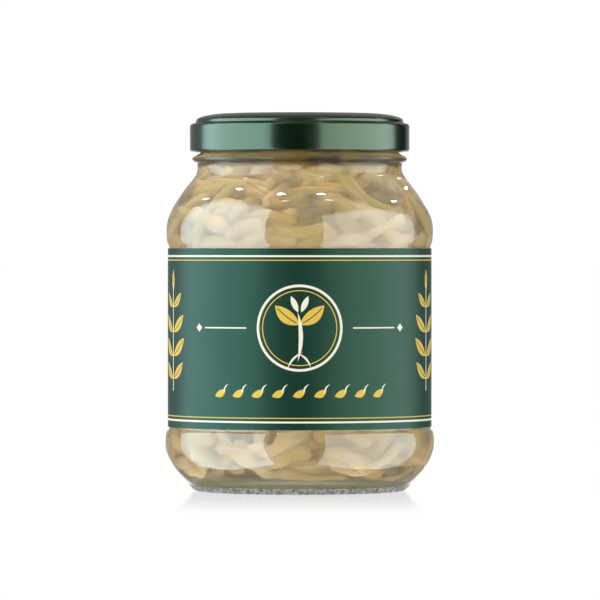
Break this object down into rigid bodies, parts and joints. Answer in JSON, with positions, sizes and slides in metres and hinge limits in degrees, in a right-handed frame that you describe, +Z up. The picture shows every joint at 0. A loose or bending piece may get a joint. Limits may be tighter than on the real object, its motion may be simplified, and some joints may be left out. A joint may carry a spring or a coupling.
{
  "type": "jar of bean sprouts",
  "caption": "Glass twist-off jar with a wrap label and lug cap, packed with pale bean sprouts in brine.",
  "frame": {"origin": "centre of the flat ring that the jar stands on", "axes": "+Z up along the jar's axis, -Y towards the front of the label"},
  "size_m": [0.081, 0.081, 0.113],
  "materials": {
    "glass": "polished",
    "label_paper": "satin",
    "sealing_compound": "matte",
    "green_enamel": "gloss",
    "sprout_flesh": "satin",
    "brine": "gloss"
  },
  "bodies": {
    "jar": {"glass_jar": "glass", "label": "label_paper", "sprouts": "sprout_flesh", "brine": "brine"},
    "seal": {"lid_gasket": "sealing_compound"},
    "cap": {"lid": "green_enamel"}
  },
  "joints": [
    {"name": "cap_rise", "type": "slide", "parent": "jar", "child": "seal", "axis": [0, 0, 1], "range_m": [0, 0.0012]},
    {"name": "cap_twist", "type": "hinge", "parent": "seal", "child": "cap", "pos_m": [0, 0, 0.1055], "axis": [0, 0, 1], "range_deg": [0, 66]}
  ],
  "couplings": [
    {"joint": "cap_rise", "follows": "cap_twist", "m_per_rad": 0.0010106}
  ]
}
